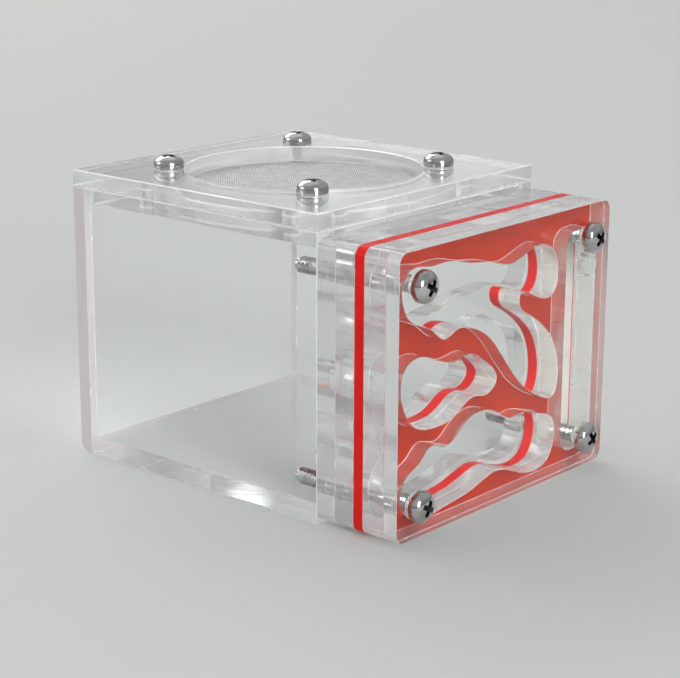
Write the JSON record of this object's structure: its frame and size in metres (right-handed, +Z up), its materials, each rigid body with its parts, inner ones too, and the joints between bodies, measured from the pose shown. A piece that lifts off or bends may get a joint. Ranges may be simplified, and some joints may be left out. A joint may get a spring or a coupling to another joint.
{
  "type": "ant habitat",
  "caption": "Clear acrylic ant habitat: an open box with a screened lift-off lid, closed at one end by a bolted nest of wavy chambers backed in red.",
  "frame": {"origin": "middle of the footprint's bounding box, on the surface that the habitat stands on", "axes": "+X from the box towards the nest's outer face, +Y to the back, +Z up"},
  "size_m": [0.0786, 0.06, 0.056],
  "materials": {
    "clear_acrylic": "clear polished sheet with satin cut edges",
    "red_acrylic": "opaque glossy red sheet",
    "screw_steel": "bright stainless steel",
    "steel_mesh": "fine woven stainless steel"
  },
  "bodies": {
    "box_and_nest": {"box_floor": "clear_acrylic", "box_left_wall": "clear_acrylic", "box_front_wall": "clear_acrylic", "box_back_wall": "clear_acrylic", "nest_end_wall": "clear_acrylic", "nest_rear_sheet": "clear_acrylic", "nest_red_sheet": "red_acrylic", "nest_chamber_sheet": "clear_acrylic", "nest_cover_sheet": "clear_acrylic", "nest_screw_bottom_front": "screw_steel", "nest_screw_bottom_back": "screw_steel", "nest_screw_top_back": "screw_steel", "nest_screw_top_front": "screw_steel"},
    "lid": {"lid_top_plate": "clear_acrylic", "lid_inner_plate": "clear_acrylic", "vent_mesh": "steel_mesh", "lid_screw_front_left": "screw_steel", "lid_screw_front_right": "screw_steel", "lid_screw_back_right": "screw_steel", "lid_screw_back_left": "screw_steel"}
  },
  "joints": [
    {"name": "lid_lift", "type": "slide", "parent": "box_and_nest", "child": "lid", "axis": [0, 0, 1], "range_m": [0, 0.06]}
  ]
}
